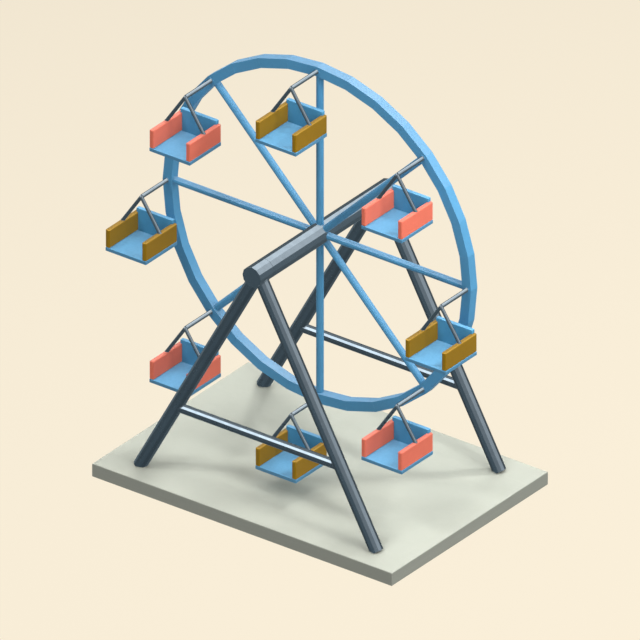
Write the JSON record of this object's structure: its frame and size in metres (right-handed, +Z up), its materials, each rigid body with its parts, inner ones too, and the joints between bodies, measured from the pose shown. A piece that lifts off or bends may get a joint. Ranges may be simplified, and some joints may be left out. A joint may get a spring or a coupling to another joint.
{
  "type": "ferris wheel",
  "caption": "Small fairground ferris wheel: spoked wheel on a steel A-frame stand over a concrete base slab, with open gondolas that hang level from pins in the rim.",
  "frame": {"origin": "centre of the base slab's underside", "axes": "+Z up; +Y along the axle, away from the side that the gondolas hang on; +X in the wheel's plane"},
  "size_m": [10.22, 6.25, 11.45],
  "materials": {
    "concrete": "pale cast concrete",
    "gunmetal": "metallic gunmetal paint",
    "wheel_blue": "satin blue paint",
    "tub_blue": "satin light blue paint",
    "hanger_steel": "brushed steel",
    "ochre_panel": "metallic ochre paint",
    "coral_panel": "satin coral paint"
  },
  "bodies": {
    "frame": {"base_slab": "concrete", "front_left_leg": "gunmetal", "front_right_leg": "gunmetal", "rear_left_leg": "gunmetal", "rear_right_leg": "gunmetal", "front_crossbar": "gunmetal", "rear_crossbar": "gunmetal", "front_bearing_head": "gunmetal", "rear_bearing_head": "gunmetal"},
    "wheel": {"axle": "gunmetal", "rim": "wheel_blue", "spoke_1": "wheel_blue", "spoke_2": "wheel_blue", "spoke_3": "wheel_blue", "spoke_4": "wheel_blue", "spoke_5": "wheel_blue", "spoke_6": "wheel_blue", "spoke_7": "wheel_blue", "spoke_8": "wheel_blue"},
    "gondola_1": {"gondola_1_tub": "tub_blue", "gondola_1_left_side": "ochre_panel", "gondola_1_right_side": "ochre_panel", "gondola_1_hanger": "hanger_steel"},
    "gondola_2": {"gondola_2_tub": "tub_blue", "gondola_2_left_side": "coral_panel", "gondola_2_right_side": "coral_panel", "gondola_2_hanger": "hanger_steel"},
    "gondola_3": {"gondola_3_tub": "tub_blue", "gondola_3_left_side": "ochre_panel", "gondola_3_right_side": "ochre_panel", "gondola_3_hanger": "hanger_steel"},
    "gondola_4": {"gondola_4_tub": "tub_blue", "gondola_4_left_side": "coral_panel", "gondola_4_right_side": "coral_panel", "gondola_4_hanger": "hanger_steel"},
    "gondola_5": {"gondola_5_tub": "tub_blue", "gondola_5_left_side": "ochre_panel", "gondola_5_right_side": "ochre_panel", "gondola_5_hanger": "hanger_steel"},
    "gondola_6": {"gondola_6_tub": "tub_blue", "gondola_6_left_side": "coral_panel", "gondola_6_right_side": "coral_panel", "gondola_6_hanger": "hanger_steel"},
    "gondola_7": {"gondola_7_tub": "tub_blue", "gondola_7_left_side": "ochre_panel", "gondola_7_right_side": "ochre_panel", "gondola_7_hanger": "hanger_steel"},
    "gondola_8": {"gondola_8_tub": "tub_blue", "gondola_8_left_side": "coral_panel", "gondola_8_right_side": "coral_panel", "gondola_8_hanger": "hanger_steel"}
  },
  "joints": [
    {"name": "wheel_spin", "type": "hinge", "parent": "frame", "child": "wheel", "pos_m": [0, 0, 6.82], "axis": [0, 1, 0], "continuous": true},
    {"name": "gondola_1_pivot", "type": "hinge", "parent": "wheel", "child": "gondola_1", "pos_m": [4.5, 0, 6.82], "axis": [0, 1, 0], "continuous": true},
    {"name": "gondola_2_pivot", "type": "hinge", "parent": "wheel", "child": "gondola_2", "pos_m": [3.18198, 0, 10.00198], "axis": [0, 1, 0], "continuous": true},
    {"name": "gondola_3_pivot", "type": "hinge", "parent": "wheel", "child": "gondola_3", "pos_m": [0, 0, 11.32], "axis": [0, 1, 0], "continuous": true},
    {"name": "gondola_4_pivot", "type": "hinge", "parent": "wheel", "child": "gondola_4", "pos_m": [-3.18198, 0, 10.00198], "axis": [0, 1, 0], "continuous": true},
    {"name": "gondola_5_pivot", "type": "hinge", "parent": "wheel", "child": "gondola_5", "pos_m": [-4.5, 0, 6.82], "axis": [0, 1, 0], "continuous": true},
    {"name": "gondola_6_pivot", "type": "hinge", "parent": "wheel", "child": "gondola_6", "pos_m": [-3.18198, 0, 3.63802], "axis": [0, 1, 0], "continuous": true},
    {"name": "gondola_7_pivot", "type": "hinge", "parent": "wheel", "child": "gondola_7", "pos_m": [0, 0, 2.32], "axis": [0, 1, 0], "continuous": true},
    {"name": "gondola_8_pivot", "type": "hinge", "parent": "wheel", "child": "gondola_8", "pos_m": [3.18198, 0, 3.63802], "axis": [0, 1, 0], "continuous": true}
  ],
  "couplings": [
    {"joint": "gondola_1_pivot", "follows": "wheel_spin", "ratio": -1},
    {"joint": "gondola_2_pivot", "follows": "wheel_spin", "ratio": -1},
    {"joint": "gondola_3_pivot", "follows": "wheel_spin", "ratio": -1},
    {"joint": "gondola_4_pivot", "follows": "wheel_spin", "ratio": -1},
    {"joint": "gondola_5_pivot", "follows": "wheel_spin", "ratio": -1},
    {"joint": "gondola_6_pivot", "follows": "wheel_spin", "ratio": -1},
    {"joint": "gondola_7_pivot", "follows": "wheel_spin", "ratio": -1},
    {"joint": "gondola_8_pivot", "follows": "wheel_spin", "ratio": -1}
  ]
}
